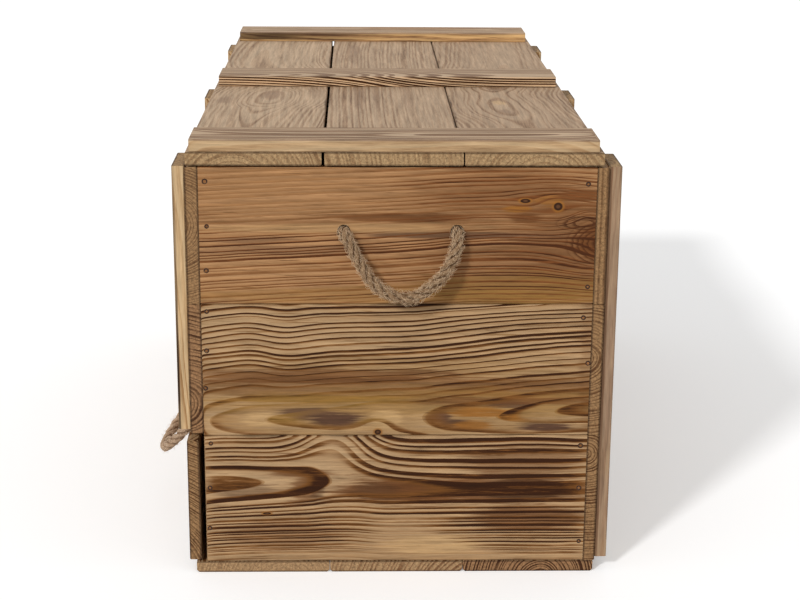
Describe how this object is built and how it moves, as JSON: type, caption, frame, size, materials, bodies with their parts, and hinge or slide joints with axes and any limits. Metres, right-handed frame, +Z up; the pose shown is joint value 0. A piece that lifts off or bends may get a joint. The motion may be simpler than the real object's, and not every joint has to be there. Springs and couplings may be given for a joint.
{
  "type": "kindling box",
  "caption": "Long nailed chest of flamed pine boards with a hinged battened lid, a hinged flap along the front foot, rope end handles and rope pulls.",
  "frame": {"origin": "middle of the underside of the box, on the floor it stands on, measured without the rope loops", "axes": "+Z up; +X along the box to the near end, the one that the picture shows; -Y to the front, where the flap is; +Y to the back, where the lid is hinged"},
  "size_m": [0.9204, 0.4891, 0.4609],
  "materials": {
    "wall_wood": "flamed pine, warm brown with dark scorched growth lines, unvarnished",
    "lid_wood": "flamed pine, greyer taupe brown, unvarnished",
    "batten_wood": "flamed pine strip with light sawn edges",
    "floor_wood": "flamed pine, bevelled underneath",
    "inside_wood": "plain sawn pine",
    "steel": "zinc plated sheet steel",
    "jute": "laid jute rope, dry and hairy"
  },
  "bodies": {
    "carcass": {"floor_board_front": "floor_wood", "floor_board_middle": "floor_wood", "floor_board_back": "floor_wood", "near_end_board_bottom": "wall_wood", "near_end_board_middle": "wall_wood", "near_end_board_top": "wall_wood", "far_end_board_bottom": "wall_wood", "far_end_board_middle": "wall_wood", "far_end_board_top": "wall_wood", "front_board_middle": "wall_wood", "front_board_top": "wall_wood", "back_board_bottom": "wall_wood", "back_board_middle": "wall_wood", "back_board_top": "wall_wood", "corner_batten_near_front": "inside_wood", "corner_batten_near_back": "inside_wood", "corner_batten_far_front": "inside_wood", "corner_batten_far_back": "inside_wood", "front_strip_near": "batten_wood", "front_strip_middle": "batten_wood", "front_strip_far": "batten_wood", "back_strip_near": "batten_wood", "back_strip_middle": "batten_wood", "back_strip_far": "batten_wood", "lid_hinge_near_wall_leaf": "steel", "lid_hinge_near_pin": "steel", "lid_hinge_far_wall_leaf": "steel", "lid_hinge_far_pin": "steel", "flap_hinge_near_floor_leaf": "steel", "flap_hinge_near_pin": "steel", "flap_hinge_far_floor_leaf": "steel", "flap_hinge_far_pin": "steel", "near_handle_knot_front": "jute", "near_handle_knot_back": "jute", "far_handle_knot_front": "jute", "far_handle_knot_back": "jute"},
    "lid": {"lid_board_front": "lid_wood", "lid_board_middle": "lid_wood", "lid_board_back": "lid_wood", "lid_batten_near": "batten_wood", "lid_batten_middle": "batten_wood", "lid_batten_far": "batten_wood", "lid_hinge_near_lid_leaf": "steel", "lid_hinge_far_lid_leaf": "steel"},
    "flap": {"flap_board": "wall_wood", "flap_hinge_near_flap_leaf": "steel", "flap_hinge_far_flap_leaf": "steel", "near_pull_knot_near": "jute", "near_pull_knot_far": "jute", "far_pull_knot_near": "jute", "far_pull_knot_far": "jute"},
    "near_handle": {"near_handle_rope": "jute"},
    "far_handle": {"far_handle_rope": "jute"},
    "near_pull": {"near_pull_rope": "jute"},
    "far_pull": {"far_pull_rope": "jute"}
  },
  "joints": [
    {"name": "lid_hinge", "type": "hinge", "parent": "carcass", "child": "lid", "pos_m": [0, 0.2118, 0.4341], "axis": [-1, 0, 0], "range_deg": [0, 125]},
    {"name": "flap_hinge", "type": "hinge", "parent": "carcass", "child": "flap", "pos_m": [0, -0.217, 0.01315], "axis": [1, 0, 0], "range_deg": [0, 90]},
    {"name": "near_handle_swing", "type": "hinge", "parent": "carcass", "child": "near_handle", "pos_m": [0.4361, 0.0034, 0.369], "axis": [0, -1, 0], "range_deg": [0, 150]},
    {"name": "far_handle_swing", "type": "hinge", "parent": "carcass", "child": "far_handle", "pos_m": [-0.4361, 0.0034, 0.369], "axis": [0, 1, 0], "range_deg": [0, 150]},
    {"name": "near_pull_swing", "type": "hinge", "parent": "flap", "child": "near_pull", "pos_m": [0.215, -0.2208, 0.115], "axis": [-1, 0, 0], "range_deg": [0, 130]},
    {"name": "far_pull_swing", "type": "hinge", "parent": "flap", "child": "far_pull", "pos_m": [-0.215, -0.2208, 0.115], "axis": [-1, 0, 0], "range_deg": [0, 130]}
  ]
}
